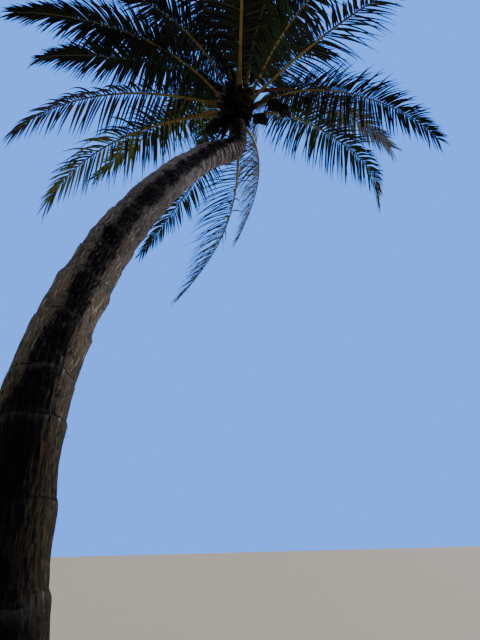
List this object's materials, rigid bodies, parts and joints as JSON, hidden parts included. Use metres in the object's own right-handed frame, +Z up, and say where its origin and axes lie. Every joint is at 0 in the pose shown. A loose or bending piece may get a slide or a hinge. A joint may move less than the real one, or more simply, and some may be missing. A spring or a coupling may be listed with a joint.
{
  "type": "coconut palm tree",
  "caption": "Leaning coconut palm with a curved, ringed trunk, a full crown of arching feather fronds, and bunches of nuts under it.",
  "frame": {"origin": "middle of the flat cut under the trunk, at ground level", "axes": "+Z up, +Y the way the trunk leans, +X to the right of that lean as the picture shows it"},
  "size_m": [7.079, 6.9418, 10.5563],
  "materials": {
    "bark": "rough grey-brown bark with ringed leaf scars and lengthwise cracks",
    "fibre": "woven brown fibre and dull green-brown leaf bases",
    "leaf": "deep green leaflets, half glossy, on ochre-green ribs",
    "fruit": "smooth green and brown-green husks on a woody stalk",
    "bract": "dry, red-brown, ribbed sheath"
  },
  "bodies": {
    "root": {"trunk": "bark", "crown_heart": "fibre", "spear_leaf": "leaf", "dry_bract": "bract", "fruit_bunch_right": "fruit", "fruit_bunch_left": "fruit", "fruit_bunch_back": "fruit", "frond_01": "leaf", "frond_02": "leaf", "frond_03_inner": "leaf", "frond_03_outer": "leaf", "frond_04": "leaf", "frond_05": "leaf", "frond_06": "leaf", "frond_07": "leaf", "frond_08": "leaf", "frond_09": "leaf", "frond_10": "leaf", "frond_11": "leaf", "frond_12": "leaf", "frond_13": "leaf", "frond_14": "leaf", "frond_15_inner": "leaf", "frond_15_outer": "leaf", "frond_16_inner": "leaf", "frond_16_outer": "leaf", "frond_17_inner": "leaf", "frond_17_outer": "leaf", "frond_18": "leaf", "frond_19": "leaf", "frond_20": "leaf", "frond_21": "leaf", "frond_22": "leaf", "frond_23": "leaf", "frond_24": "leaf"}
  },
  "joints": []
}
